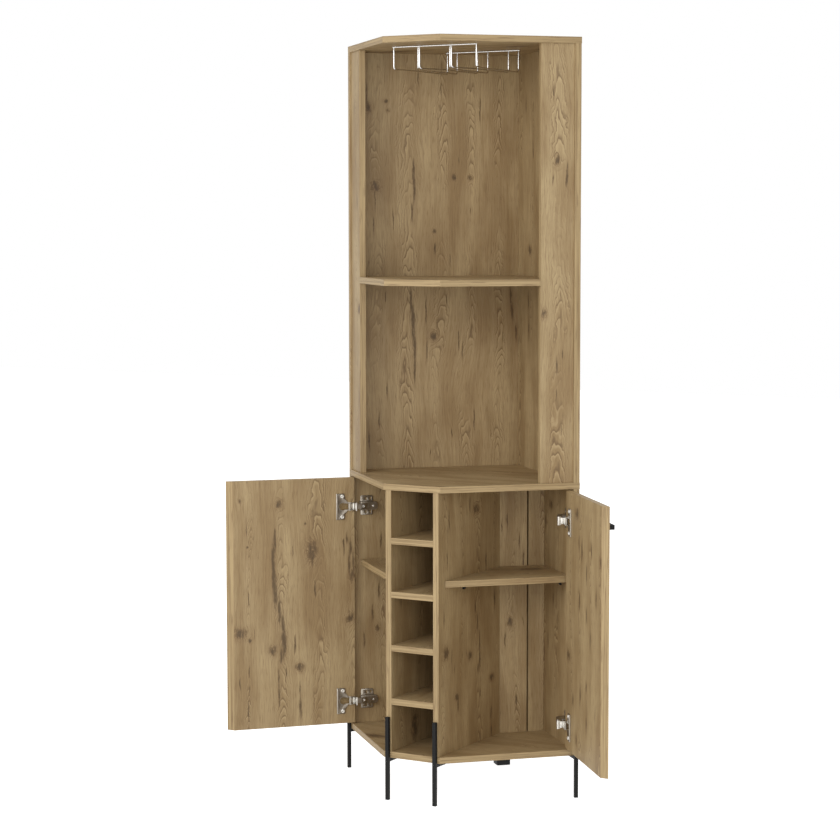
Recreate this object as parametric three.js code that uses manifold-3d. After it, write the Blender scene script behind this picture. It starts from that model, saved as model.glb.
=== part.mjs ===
// Corner bar cabinet: a tall open corner shelf over a cupboard with a narrow rack and two doors.
// Millimetres, +Z up. The front faces -Y and the room's corner lies towards +Y.
// The plan is a square with one corner cut off: two long facets with a short one between them.
import * as THREE from 'three';
import { mergeVertices } from 'three/addons/utils/BufferGeometryUtils.js';
import Module from 'manifold-3d';

const wasm = await Module();
wasm.setup();

// Driving dimensions of the carcass
const HEIGHT = 1800;
const SIDE = 452;
const CORNER_CUT = 108.7;
const BOARD = 15;
const BASE_TOP = 116;
const WORKTOP_TOP = 756;
const UPPER_SHELF_TOP = 1236.5;
const PANEL_INSET = 0.7;
const STILE_WIDTH = 82;
const STILE_SETBACK = 4.4;
const UPPER_SHELF_SETBACK = 3;
const SHELF_PLAY = 0.3;
const JOINT_GAP = 0.3;

// The rack between the dividers, and the compartments beside it
const RACK_WIDTH = 143.4;
const RACK_SHELVES = 4;
const DIVIDER_SETBACK = 1;
const BACK_SETBACK = 220;
const BATTEN_WIDTH = 40;
const BATTEN_GAP = 4;
const SIDE_SHELF_TOP = 530;
const SIDE_SHELF_SETBACK = 25;
const SIDE_SHELF_PLAY = 1;
const SIDE_SHELF_CORNER = 14;

// Shelf supports: small wedges pushed into the boards
const SUPPORT_WIDTH = 8;
const SUPPORT_HEIGHT = 15;
const SUPPORT_DEPTH = 9;
const SUPPORT_LIP = 4;
const SUPPORT_FRONT = 89;
const SUPPORT_REAR = 185;
const SUPPORT_SEAT = 0.3;

// Doors
const DOOR_EDGE_GAP = 2.5;
const DOOR_TIP_GAP = 1.1;
const DOOR_Z_GAP = 3.3;
const PIVOT_IN = 4.26;
const PIVOT_BACK = 2.8;
const LEFT_OPEN_DEG = 87.6;
const RIGHT_OPEN_DEG = 86;

// Hinge pockets in the doors: a round bore with a channel towards the hinged edge
const HINGE_FROM_TOP = 71.9;
const HINGE_FROM_BOTTOM = 57.1;
const POCKET_ALONG = 31;
const POCKET_DIAMETER = 22;
const POCKET_WIDTH = 15.4;
const POCKET_NEAR = 10;
const POCKET_DEPTH = 11.3;

// Hinge flanges, measured along the door from its hinged edge and off its inner face
const HINGE_SEAT = 0.3;
const FLANGE_FAR = 48;
const FLANGE_THICK = 1.4;
const FLANGE_HEIGHT = 65.2;
const FLANGE_SHOULDER = 26.5;
const FLANGE_WAIST = 24.5;
const FLANGE_WAIST_HEIGHT = 38;
const BEAD_WIDTH = 5;
const BEAD_RISE = 3.4;
const NECK_NEAR = 1.4;
const NECK_FAR = 17;
const NECK_HEIGHT = 20;
const TONGUE_WIDTH = 4.4;
const TONGUE_RISE = 2;
const EAR_NEAR = 0.2;
const EAR_THICK = 2;
const EAR_RISE = 5.2;
const SCREW_ALONG = 32;
const SCREW_SPACING = 51.7;
const SCREW_HEAD = 7.4;
const SCREW_TIP = 6.4;
const SCREW_RISE = 3.2;

// Hinge plates and arms, measured behind the facet and off the side panel
const PLATE_NEAR = 24;
const PLATE_LENGTH = 31.8;
const PLATE_HEIGHT = 49;
const PLATE_THICK = 2;
const PLATE_CORNER = 2.5;
const PLATE_SLOTS = [14, 25.5];
const PLATE_SLOT_SPACING = 33.6;
const PLATE_SLOT_WIDTH = 4.4;
const PLATE_SLOT_HEIGHT = 7;
const SADDLE_LENGTH = 40;
const SADDLE_HEIGHT = 17;
const SADDLE_RISE = 9;
const ARM_NEAR = 21;
const ARM_LENGTH = 49.5;
const ARM_HEIGHT = 24;
const ARM_TOP = 20;
const ARM_WALL = 1.6;
const ARM_CORNER = 9;
const NOSE_NEAR = 4.3;
const NOSE_HEIGHT = 13;
const NOSE_UNDER = 19.7;
const NOSE_TOP = 25.4;
const NOSE_RAMP = 15;
const PIN_DIAMETER = 2.8;
const PIN_IN = 20.9;
const PIN_FROM_TIP = 1.6;
const PIN_PLAY = 0.3;

// Handles: a bar on two posts on each door's outer face
const HANDLE_FROM_TIP = 44;
const HANDLE_LENGTH = 108;
const HANDLE_HEIGHT = 11.2;
const HANDLE_DEPTH = 12;
const HANDLE_STANDOFF = 12;
const HANDLE_POST = 9;
const HANDLE_POST_INSET = 6;
const HANDLE_DROP = 52.8;
const HANDLE_BEVEL = 0.8;
const HANDLE_SEAT = 0.3;

// Front and wing legs: square tube, each welded to a tube under the base
const TUBE = 9;
const TUBE_WALL = 1.2;
const LEG_TOP = 199.5;
const LEG_SEAT = 0.3;
const BAR_LENGTH = 130;
const GLIDE_THICK = 3;
const GLIDE_PLUG = 8;
const GLIDE_PLAY = 0.15;

// Rear leg: one post with a flange under the base
const POST_BACK = 456.5;
const POST_WIDTH = 35;
const POST_BEVEL = 2;
const POST_FLANGE = 54;
const POST_FLANGE_THICK = 4;

// Wire rack under the top: six wires hang from two crossbars and flare at the front into three mouths
const WIRE = 4.4;
const RACK_FRONT = 111;
const RACK_LENGTH = 238;
const RACK_DROP = 51.6;
const RACK_FLARE = 70;
const WIRE_BEND = 8;
const CROSSBAR_END = 2.6;
const RACK_FRONT_WIDTH = 222;
const RACK_REAR_WIDTH = 196;
const RAIL_FRONT_SHARES = [0, 0.298, 0.315, 0.685, 0.702, 1];
const RAIL_REAR_SHARES = [0, 0.139, 0.428, 0.572, 0.861, 1];
const RACK_SEAT = 0.3;

// How far a cutting solid runs past the faces it opens
const CUT = 1;

// Fineness of round work
const ROUND_STEPS = 20;
const CORNER_STEPS = 5;
const WIRE_SIDES = 8;
const WIRE_STEPS = 52;

// Derived places
const R2 = Math.SQRT2;
const CORNER_X = CORNER_CUT / R2;
const WING_X = SIDE / R2;
const WING_Y = (SIDE - CORNER_CUT) / R2;
const CORNER_Y = WING_Y + WING_X;
const PANEL_IN = PANEL_INSET + BOARD;
const DIVIDER_OUT = RACK_WIDTH / 2;
const DIVIDER_IN = DIVIDER_OUT - BOARD;
const DIVIDER_END = (BACK_SETBACK + BOARD) * R2 - (CORNER_X - DIVIDER_OUT);
const BASE_UNDER = BASE_TOP - BOARD;
const WORKTOP_UNDER = WORKTOP_TOP - BOARD;
const TOP_UNDER = HEIGHT - BOARD;
const DOOR_BOTTOM = BASE_TOP + DOOR_Z_GAP;
const DOOR_TOP = WORKTOP_UNDER - DOOR_Z_GAP;
const DOOR_WIDTH = SIDE - CORNER_CUT - PANEL_IN - DOOR_EDGE_GAP - DOOR_TIP_GAP;
const HINGES = [['upper', DOOR_TOP - HINGE_FROM_TOP], ['lower', DOOR_BOTTOM + HINGE_FROM_BOTTOM]];

// Finishes
const OAK = { color: 0xb49670, roughness: 0.55, metalness: 0 };
const BLACK_STEEL = { color: 0x17171a, roughness: 0.5, metalness: 0.2 };
const BLACK_PLASTIC = { color: 0x101011, roughness: 0.6, metalness: 0 };
const NICKEL = { color: 0xb9b6ae, roughness: 0.25, metalness: 1 };
const CHROME = { color: 0xd8d9da, roughness: 0.15, metalness: 1 };

// A closed geometry becomes a solid that can be joined and cut
function solid(geometry) {
  const bare = geometry.clone();
  bare.deleteAttribute('normal');
  bare.deleteAttribute('uv');
  const merged = mergeVertices(bare);
  return new wasm.Manifold(new wasm.Mesh({
    numProp: 3,
    vertProperties: Float32Array.from(merged.attributes.position.array),
    triVerts: Uint32Array.from(merged.index.array),
  }));
}

function geometryOf(manifold) {
  const mesh = manifold.getMesh();
  const geometry = new THREE.BufferGeometry();
  const points = Float32Array.from(mesh.vertProperties);
  geometry.setAttribute('position', new THREE.BufferAttribute(points, 3));
  geometry.setIndex(new THREE.BufferAttribute(Uint32Array.from(mesh.triVerts), 1));
  geometry.computeVertexNormals();
  return geometry;
}

function joined(geometries) {
  return geometries.map(solid).reduce((body, next) => body.add(next));
}

function cutBy(body, geometries) {
  return geometries.map(solid).reduce((left, next) => left.subtract(next), body);
}

function shapeOf(points) {
  return new THREE.Shape(points.map(([x, y]) => new THREE.Vector2(x, y)));
}

// A box between stated faces
function block(x0, x1, y0, y1, z0, z1) {
  const geometry = new THREE.BoxGeometry(1, 1, 1);
  const p = geometry.attributes.position;
  for (let i = 0; i < p.count; i += 1) {
    p.setXYZ(i, p.getX(i) < 0 ? x0 : x1, p.getY(i) < 0 ? y0 : y1, p.getZ(i) < 0 ? z0 : z1);
  }
  return geometry;
}

// An upright prism over a plan outline
function upright(shape, z0, z1) {
  const geometry = new THREE.ExtrudeGeometry(shape, {
    depth: 1, bevelEnabled: false, curveSegments: CORNER_STEPS,
  });
  const p = geometry.attributes.position;
  for (let i = 0; i < p.count; i += 1) p.setZ(i, p.getZ(i) > 0 ? z1 : z0);
  return geometry;
}

// A prism along X over an outline in Y and Z
function alongX(shape, x0, x1) {
  return upright(shape, x0, x1).rotateY(Math.PI / 2).rotateX(Math.PI / 2);
}

// A rectangle about the origin with its corners cut at 45 degrees
function bevelled(width, height, bevel) {
  const w = width / 2;
  const h = height / 2;
  return shapeOf([
    [bevel - w, -h], [w - bevel, -h], [w, bevel - h], [w, h - bevel],
    [w - bevel, h], [bevel - w, h], [-w, h - bevel], [-w, bevel - h],
  ]);
}

// The same geometry on the other side of the symmetry plane, its faces still pointing out
function mirrored(geometry) {
  const flat = geometry.index ? geometry.toNonIndexed() : geometry.clone();
  const p = flat.attributes.position;
  for (let i = 0; i < p.count; i += 3) {
    const [a, b, c] = [i, i + 1, i + 2].map((j) => [-p.getX(j), p.getY(j), p.getZ(j)]);
    p.setXYZ(i, ...a);
    p.setXYZ(i + 1, ...c);
    p.setXYZ(i + 2, ...b);
  }
  flat.computeVertexNormals();
  return flat;
}

// Plan point of the right-hand side: along the facet from the wing corner, then behind it
function facetPoint(along, behind) {
  return [WING_X - (along + behind) / R2, WING_Y - (along - behind) / R2];
}

// Plan point of the right-hand side: along the wall from the room's corner, then off the wall
function wallPoint(along, off) {
  return [(along - off) / R2, CORNER_Y - (along + off) / R2];
}

// Distance along the facet, at a given depth behind it, to a plane square to X
function facetReach(x, behind) {
  return (WING_X - x) * R2 - behind;
}

const cabinet = new THREE.Group();
cabinet.position.set(0, -POST_BACK, 0);

function piece(name, geometry, finish) {
  const mesh = new THREE.Mesh(geometry, new THREE.MeshStandardMaterial(finish));
  mesh.name = name;
  return mesh;
}

function fixed(name, geometry, finish) {
  cabinet.add(piece(name, geometry, finish));
}

// Both sides of the carcass are alike: what is made for the right is mirrored to the left
function pair(name, geometry, finish) {
  fixed(`${name}_right`, geometry, finish);
  fixed(`${name}_left`, mirrored(geometry), finish);
}

// Places a piece made along the facet from the side panel's inner face, outward and up
function onFacet(geometry) {
  const [x, y] = facetPoint(PANEL_IN, 0);
  return geometry.rotateZ(-Math.PI * 0.75).translate(x, y, 0);
}

// Top panel, worktop and base share the full five-sided outline
const outline = shapeOf([
  [CORNER_X, 0], [WING_X, WING_Y], [0, CORNER_Y], [-WING_X, WING_Y], [-CORNER_X, 0],
]);
fixed('top_panel', upright(outline, TOP_UNDER, HEIGHT), OAK);
fixed('worktop', upright(outline, WORKTOP_UNDER, WORKTOP_TOP), OAK);
fixed('base_panel', upright(outline, BASE_UNDER, BASE_TOP), OAK);

// Side panels along the room's walls, mitred where they meet in the corner
const wallPanel = shapeOf([
  wallPoint(SIDE, PANEL_INSET), wallPoint(PANEL_INSET, PANEL_INSET),
  wallPoint(PANEL_IN, PANEL_IN), wallPoint(SIDE, PANEL_IN),
]);
pair('upper_side', upright(wallPanel, WORKTOP_TOP, TOP_UNDER), OAK);
pair('lower_side', upright(wallPanel, BASE_TOP, WORKTOP_UNDER), OAK);

// A board parallel to the facet, from one place along it to another
function facetBoard(from, to, behind) {
  return shapeOf([
    facetPoint(from, behind), facetPoint(to, behind),
    facetPoint(to, behind + BOARD), facetPoint(from, behind + BOARD),
  ]);
}

// Stiles frame the open upper part, a little behind the side panels' front edges
const stileNear = PANEL_IN + JOINT_GAP;
const stileFar = stileNear + STILE_WIDTH;
pair('stile', upright(facetBoard(stileNear, stileFar, STILE_SETBACK), WORKTOP_TOP, TOP_UNDER), OAK);

// Upper shelf: it follows the three facets, is notched round the stiles and fills the corner
const shelfWall = PANEL_IN + SHELF_PLAY;
const notchBehind = STILE_SETBACK + BOARD + SHELF_PLAY;
const upperShelfRight = [
  [CORNER_X - UPPER_SHELF_SETBACK * (R2 - 1), UPPER_SHELF_SETBACK],
  facetPoint(stileFar + SHELF_PLAY, UPPER_SHELF_SETBACK),
  facetPoint(stileFar + SHELF_PLAY, notchBehind),
  facetPoint(shelfWall, notchBehind),
];
const upperShelf = shapeOf([
  ...upperShelfRight,
  wallPoint(shelfWall, shelfWall),
  ...upperShelfRight.map(([x, y]) => [-x, y]).reverse(),
]);
fixed('upper_shelf', upright(upperShelf, UPPER_SHELF_TOP - BOARD, UPPER_SHELF_TOP), OAK);

// Rack: two dividers, a back and evenly spaced shelves
pair('divider', block(DIVIDER_IN, DIVIDER_OUT, DIVIDER_SETBACK, DIVIDER_END, BASE_TOP, WORKTOP_UNDER), OAK);
const rackEnd = DIVIDER_END - BOARD;
fixed('rack_back', block(-DIVIDER_IN, DIVIDER_IN, rackEnd, DIVIDER_END, BASE_TOP, WORKTOP_UNDER), OAK);
const cubbyHeight = (WORKTOP_UNDER - BASE_TOP - RACK_SHELVES * BOARD) / (RACK_SHELVES + 1);
for (let i = 1; i <= RACK_SHELVES; i += 1) {
  const top = BASE_TOP + i * (cubbyHeight + BOARD);
  fixed(`rack_shelf_${i}`, block(-DIVIDER_IN, DIVIDER_IN, DIVIDER_SETBACK, rackEnd, top - BOARD, top), OAK);
}

// Compartment backs: a board across the corner and a batten at the wall, with a groove between
const battenNear = PANEL_IN + JOINT_GAP;
const battenFar = battenNear + BATTEN_WIDTH;
const backNear = battenFar + BATTEN_GAP;
pair('back_batten', upright(facetBoard(battenNear, battenFar, BACK_SETBACK), BASE_TOP, WORKTOP_UNDER), OAK);
const backFar = DIVIDER_OUT + JOINT_GAP;
const backBoard = shapeOf([
  facetPoint(backNear, BACK_SETBACK),
  facetPoint(facetReach(backFar, BACK_SETBACK), BACK_SETBACK),
  facetPoint(facetReach(backFar, BACK_SETBACK + BOARD), BACK_SETBACK + BOARD),
  facetPoint(backNear, BACK_SETBACK + BOARD),
]);
pair('back_board', upright(backBoard, BASE_TOP, WORKTOP_UNDER), OAK);

// Compartment shelves lie loose on four supports, one corner cut off beside the batten
const sideShelfWall = PANEL_IN + SIDE_SHELF_PLAY;
const sideShelfBack = BACK_SETBACK - SIDE_SHELF_PLAY;
const sideShelfDivider = DIVIDER_OUT + SIDE_SHELF_PLAY;
const sideShelf = shapeOf([
  facetPoint(sideShelfWall, SIDE_SHELF_SETBACK),
  facetPoint(facetReach(sideShelfDivider, SIDE_SHELF_SETBACK), SIDE_SHELF_SETBACK),
  facetPoint(facetReach(sideShelfDivider, sideShelfBack), sideShelfBack),
  facetPoint(sideShelfWall + SIDE_SHELF_CORNER, sideShelfBack),
  facetPoint(sideShelfWall, sideShelfBack - SIDE_SHELF_CORNER),
]);
pair('side_shelf', upright(sideShelf, SIDE_SHELF_TOP - BOARD, SIDE_SHELF_TOP), OAK);

// A shelf support: its flat back on the board, its top under the shelf, its front raked
function support() {
  const side = new THREE.Shape();
  side.moveTo(0, 0);
  side.lineTo(SUPPORT_DEPTH, 0);
  side.lineTo(SUPPORT_DEPTH, -SUPPORT_LIP);
  side.lineTo(SUPPORT_LIP, -SUPPORT_HEIGHT);
  side.lineTo(0, -SUPPORT_HEIGHT);
  side.closePath();
  return upright(side, -SUPPORT_WIDTH / 2, SUPPORT_WIDTH / 2).rotateX(Math.PI / 2);
}
const supportTop = SIDE_SHELF_TOP - BOARD - SUPPORT_SEAT;
for (const [place, behind] of [['front', SUPPORT_FRONT], ['rear', SUPPORT_REAR]]) {
  const onWall = support().translate(SUPPORT_SEAT, -behind, supportTop);
  pair(`support_wall_${place}`, onFacet(onWall), BLACK_PLASTIC);
  const dividerY = behind * R2 - (CORNER_X - DIVIDER_OUT);
  const onDivider = support().translate(DIVIDER_OUT + SUPPORT_SEAT, dividerY, supportTop);
  pair(`support_divider_${place}`, onDivider, BLACK_PLASTIC);
}

// A door, shut: x along it from the hinged edge, y outward from its inner face. The free edge
// is mitred, and two pockets take the noses of the hinge arms.
function door() {
  const section = shapeOf([[0, 0], [DOOR_WIDTH - BOARD, 0], [DOOR_WIDTH, BOARD], [0, BOARD]]);
  const half = POCKET_WIDTH / 2;
  const pockets = HINGES.flatMap(([, z]) => {
    const bore = new THREE.CylinderGeometry(
      POCKET_DIAMETER / 2, POCKET_DIAMETER / 2, POCKET_DEPTH + CUT, ROUND_STEPS,
    );
    bore.translate(POCKET_ALONG, (POCKET_DEPTH - CUT) / 2, z);
    return [bore, block(POCKET_NEAR, POCKET_ALONG, -CUT, POCKET_DEPTH, z - half, z + half)];
  });
  return geometryOf(cutBy(solid(upright(section, DOOR_BOTTOM, DOOR_TOP)), pockets));
}

// The hinge's half on the door: a flange with a beaded edge and two screws, an opening over the
// pocket, and a neck whose ears and tongue straddle the nose of the arm
function flange() {
  const half = FLANGE_HEIGHT / 2;
  const waist = FLANGE_WAIST_HEIGHT / 2;
  const neck = NECK_HEIGHT / 2;
  const sheet = shapeOf([
    [FLANGE_FAR, -half], [FLANGE_FAR, half], [FLANGE_SHOULDER, half], [FLANGE_WAIST, waist],
    [NECK_FAR, neck], [NECK_NEAR, neck], [NECK_NEAR, -neck], [NECK_FAR, -neck],
    [FLANGE_WAIST, -waist], [FLANGE_SHOULDER, -half],
  ]);
  const ear = shapeOf([
    [NECK_NEAR, 0], [NECK_FAR, 0], [NECK_FAR - EAR_RISE, EAR_RISE],
    [EAR_NEAR, EAR_RISE], [EAR_NEAR, EAR_RISE / 2],
  ]);
  const parts = [upright(sheet, 0, FLANGE_THICK)];
  parts.push(block(FLANGE_FAR - BEAD_WIDTH, FLANGE_FAR, -half, half, 0, BEAD_RISE));
  parts.push(block(NECK_NEAR, NECK_NEAR + TONGUE_WIDTH, -neck, neck, 0, TONGUE_RISE));
  for (const side of [-1, 1]) {
    const lever = upright(ear, -EAR_THICK / 2, EAR_THICK / 2).rotateX(Math.PI / 2);
    parts.push(lever.translate(0, side * (neck - EAR_THICK / 2), 0));
    const head = new THREE.CylinderGeometry(SCREW_TIP / 2, SCREW_HEAD / 2, SCREW_RISE, ROUND_STEPS);
    head.rotateX(Math.PI / 2).translate(SCREW_ALONG, side * SCREW_SPACING / 2, SCREW_RISE / 2);
    parts.push(head);
  }
  const bore = new THREE.CylinderGeometry(
    POCKET_DIAMETER / 2, POCKET_DIAMETER / 2, FLANGE_THICK + CUT + CUT, ROUND_STEPS,
  );
  bore.rotateX(Math.PI / 2).translate(POCKET_ALONG, 0, FLANGE_THICK / 2);
  const channel = [NECK_NEAR + TONGUE_WIDTH, POCKET_ALONG, -POCKET_WIDTH / 2, POCKET_WIDTH / 2];
  const open = [bore, block(...channel, -CUT, FLANGE_THICK + CUT)];
  return geometryOf(cutBy(joined(parts), open)).rotateX(Math.PI / 2).translate(0, -HINGE_SEAT, 0);
}

// A handle's bar has its long edges broken and stands on two square posts
function handle() {
  const middle = HANDLE_STANDOFF + HANDLE_DEPTH / 2;
  const halfLength = HANDLE_LENGTH / 2;
  const halfPost = HANDLE_POST / 2;
  const section = bevelled(HANDLE_DEPTH, HANDLE_HEIGHT, HANDLE_BEVEL);
  const parts = [alongX(section, -halfLength, halfLength).translate(0, middle, 0)];
  const postFar = halfLength - HANDLE_POST_INSET;
  for (const [x0, x1] of [[-postFar, HANDLE_POST - postFar], [postFar - HANDLE_POST, postFar]]) {
    parts.push(block(x0, x1, HANDLE_SEAT, middle, -halfPost, halfPost));
  }
  const along = DOOR_WIDTH - HANDLE_FROM_TIP - HANDLE_LENGTH / 2;
  return geometryOf(joined(parts)).translate(along, BOARD, DOOR_TOP - HANDLE_DROP);
}

// A door turns with its handle and flanges about the upright axis of its hinges. The group
// stands on that axis; it is turned from the shut place to where the door stands open.
const swinging = [['door', door(), OAK], ['handle', handle(), BLACK_STEEL]];
for (const [place, z] of HINGES) {
  swinging.push([`hinge_flange_${place}`, flange().translate(0, 0, z), NICKEL]);
}
const [pivotX, pivotY] = facetPoint(PANEL_IN + PIVOT_IN, PIVOT_BACK);
for (const [side, sign, openDegrees] of [['right', 1, RIGHT_OPEN_DEG], ['left', -1, LEFT_OPEN_DEG]]) {
  const leaf = new THREE.Group();
  leaf.position.set(sign * pivotX, pivotY, 0);
  leaf.rotation.z = sign * (THREE.MathUtils.degToRad(openDegrees) - Math.PI * 0.75);
  for (const [name, shut, finish] of swinging) {
    const about = shut.clone().translate(DOOR_EDGE_GAP - PIVOT_IN, PIVOT_BACK - BOARD, 0);
    leaf.add(piece(`${name}_${side}`, sign < 0 ? mirrored(about) : about, finish));
  }
  cabinet.add(leaf);
}

// The hinge's plate on the side panel: slotted wings and a raised saddle under the arm
function hingePlate() {
  const wings = bevelled(PLATE_LENGTH, PLATE_HEIGHT, PLATE_CORNER);
  const sheet = alongX(wings, 0, PLATE_THICK).translate(0, -PLATE_NEAR - PLATE_LENGTH / 2, 0);
  const saddleFar = PLATE_NEAR + SADDLE_LENGTH;
  const saddleHalf = SADDLE_HEIGHT / 2;
  const saddle = block(0, SADDLE_RISE, -saddleFar, -PLATE_NEAR, -saddleHalf, saddleHalf);
  const slots = PLATE_SLOTS.flatMap((along) => [-1, 1].map((side) => {
    const slot = bevelled(PLATE_SLOT_WIDTH, PLATE_SLOT_HEIGHT, PLATE_SLOT_WIDTH / 4);
    const cut = alongX(slot, -CUT, PLATE_THICK + CUT);
    return cut.translate(0, -PLATE_NEAR - along, side * PLATE_SLOT_SPACING / 2);
  }));
  return geometryOf(cutBy(joined([sheet, saddle]), slots)).translate(HINGE_SEAT, 0, 0);
}

// Outline of the arm in side view: square at the front, rounded at the rear
function armOutline(near, far, height, corner) {
  const h = height / 2;
  const shape = new THREE.Shape();
  shape.moveTo(-near, -h);
  shape.lineTo(-near, h);
  shape.lineTo(corner - far, h);
  shape.absarc(corner - far, h - corner, corner, Math.PI / 2, Math.PI, false);
  shape.lineTo(-far, corner - h);
  shape.absarc(corner - far, corner - h, corner, Math.PI, Math.PI * 1.5, false);
  shape.closePath();
  return shape;
}

// The arm: a pressed channel over the saddle, and a narrow nose that reaches into the pocket.
// A pin through the nose carries the ears of the flange, which run past its ends.
function hingeArm() {
  const rim = HINGE_SEAT + PLATE_THICK + HINGE_SEAT;
  const far = ARM_NEAR + ARM_LENGTH;
  const shell = alongX(armOutline(ARM_NEAR, far, ARM_HEIGHT, ARM_CORNER), rim, ARM_TOP);
  const hollow = armOutline(
    ARM_NEAR + ARM_WALL, far - ARM_WALL, ARM_HEIGHT - ARM_WALL * 2, ARM_CORNER - ARM_WALL,
  );
  const nose = shapeOf([
    [NOSE_UNDER, -NOSE_NEAR], [NOSE_UNDER, -ARM_NEAR - NOSE_RAMP],
    [NOSE_TOP, -ARM_NEAR], [NOSE_TOP, -NOSE_NEAR],
  ]);
  const channel = cutBy(solid(shell), [alongX(hollow, rim - CUT, ARM_TOP - ARM_WALL)]);
  const pinLength = NECK_HEIGHT - EAR_THICK * 2 - PIN_PLAY * 2;
  const pin = new THREE.CylinderGeometry(PIN_DIAMETER / 2, PIN_DIAMETER / 2, pinLength, ROUND_STEPS);
  pin.rotateX(Math.PI / 2).translate(PIN_IN, -NOSE_NEAR - PIN_FROM_TIP, 0);
  return geometryOf(channel.add(joined([upright(nose, -NOSE_HEIGHT / 2, NOSE_HEIGHT / 2), pin])));
}
for (const [place, z] of HINGES) {
  pair(`hinge_plate_${place}`, onFacet(hingePlate().translate(0, 0, z)), NICKEL);
  pair(`hinge_arm_${place}`, onFacet(hingeArm().translate(0, 0, z)), NICKEL);
}

// A leg: an upright tube, closed on top, and a tube welded to it that lies under the base.
// The upright's back is the plane y = 0.
function leg() {
  const half = TUBE / 2;
  const bore = half - TUBE_WALL;
  const barUnder = BASE_UNDER - TUBE;
  const boreNear = TUBE_WALL - TUBE;
  const parts = [
    block(-half, half, -TUBE, 0, GLIDE_THICK, LEG_TOP),
    block(-half, half, -TUBE, BAR_LENGTH, barUnder, BASE_UNDER),
  ];
  const bores = [
    block(-bore, bore, boreNear, -TUBE_WALL, GLIDE_THICK - CUT, LEG_TOP - TUBE_WALL),
    block(-bore, bore, boreNear, BAR_LENGTH + CUT, barUnder + TUBE_WALL, BASE_UNDER - TUBE_WALL),
  ];
  return geometryOf(cutBy(joined(parts), bores));
}

// A glide: a pad under the tube with a plug inside it
function glide() {
  const plug = TUBE / 2 - TUBE_WALL - GLIDE_PLAY;
  const pad = block(-TUBE / 2, TUBE / 2, -TUBE, 0, 0, GLIDE_THICK);
  const stem = block(-plug, plug, -TUBE / 2 - plug, plug - TUBE / 2, 0, GLIDE_THICK + GLIDE_PLUG);
  return geometryOf(joined([pad, stem]));
}

// Front legs stand before the dividers, wing legs before the side panels
const [wingX, wingY] = facetPoint(PANEL_INSET + BOARD / 2, -LEG_SEAT);
const legPieces = [['leg', leg, BLACK_STEEL], ['glide', glide, BLACK_PLASTIC]];
for (const [name, make, finish] of legPieces) {
  pair(`${name}_front`, make().translate(DIVIDER_OUT - BOARD / 2, 0, 0), finish);
  pair(`${name}_wing`, make().rotateZ(Math.PI / 4).translate(wingX, wingY, 0), finish);
}

// The rear leg is a square post, its sides parallel to the walls
const post = upright(bevelled(POST_WIDTH, POST_WIDTH, POST_BEVEL), 0, BASE_UNDER);
const postFlange = upright(
  bevelled(POST_FLANGE, POST_FLANGE, POST_BEVEL), BASE_UNDER - POST_FLANGE_THICK, BASE_UNDER,
);
const rearLeg = geometryOf(joined([post, postFlange]));
fixed('rear_leg', rearLeg.rotateZ(Math.PI / 4).translate(0, POST_BACK, 0), BLACK_PLASTIC);

// A wire along a path of straight runs with rounded corners
function wire(points) {
  const corners = points.map((point) => new THREE.Vector3(...point));
  const path = new THREE.CurvePath();
  let from = corners[0];
  for (let i = 1; i < corners.length - 1; i += 1) {
    const toLast = corners[i - 1].clone().sub(corners[i]).setLength(WIRE_BEND);
    const toNext = corners[i + 1].clone().sub(corners[i]).setLength(WIRE_BEND);
    const start = corners[i].clone().add(toLast);
    const end = corners[i].clone().add(toNext);
    path.add(new THREE.LineCurve3(from, start));
    path.add(new THREE.QuadraticBezierCurve3(start, corners[i], end));
    from = end;
  }
  path.add(new THREE.LineCurve3(from, corners[corners.length - 1]));
  const section = [];
  for (let i = 0; i < WIRE_SIDES; i += 1) {
    const angle = (2 * Math.PI * i) / WIRE_SIDES;
    section.push([Math.cos(angle) * WIRE / 2, Math.sin(angle) * WIRE / 2]);
  }
  const steps = corners.length > 2 ? WIRE_STEPS : 1;
  return new THREE.ExtrudeGeometry(shapeOf(section), { extrudePath: path, steps, bevelEnabled: false });
}

// Wire rack: each wire drops from the front crossbar, runs back and rises to the rear one
const hang = TOP_UNDER - RACK_SEAT - WIRE / 2;
const railZ = hang - RACK_DROP;
const rackRear = RACK_FRONT + RACK_LENGTH;
const spread = (width, share) => width * (share - 0.5);
const wires = [[RACK_FRONT, RACK_FRONT_WIDTH], [rackRear, RACK_REAR_WIDTH]].map(([y, width]) => {
  const half = width / 2 + CROSSBAR_END;
  return wire([[-half, y, hang], [half, y, hang]]);
});
RAIL_FRONT_SHARES.forEach((share, i) => {
  const front = spread(RACK_FRONT_WIDTH, share);
  const rear = spread(RACK_REAR_WIDTH, RAIL_REAR_SHARES[i]);
  wires.push(wire([
    [front, RACK_FRONT, hang], [front, RACK_FRONT, railZ], [rear, RACK_FRONT + RACK_FLARE, railZ],
    [rear, rackRear, railZ], [rear, rackRear, hang],
  ]));
});
fixed('wire_rack', geometryOf(joined(wires)), CHROME);

export default cabinet;
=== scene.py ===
import math

import bmesh
import bpy
from mathutils import Matrix, Vector


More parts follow.
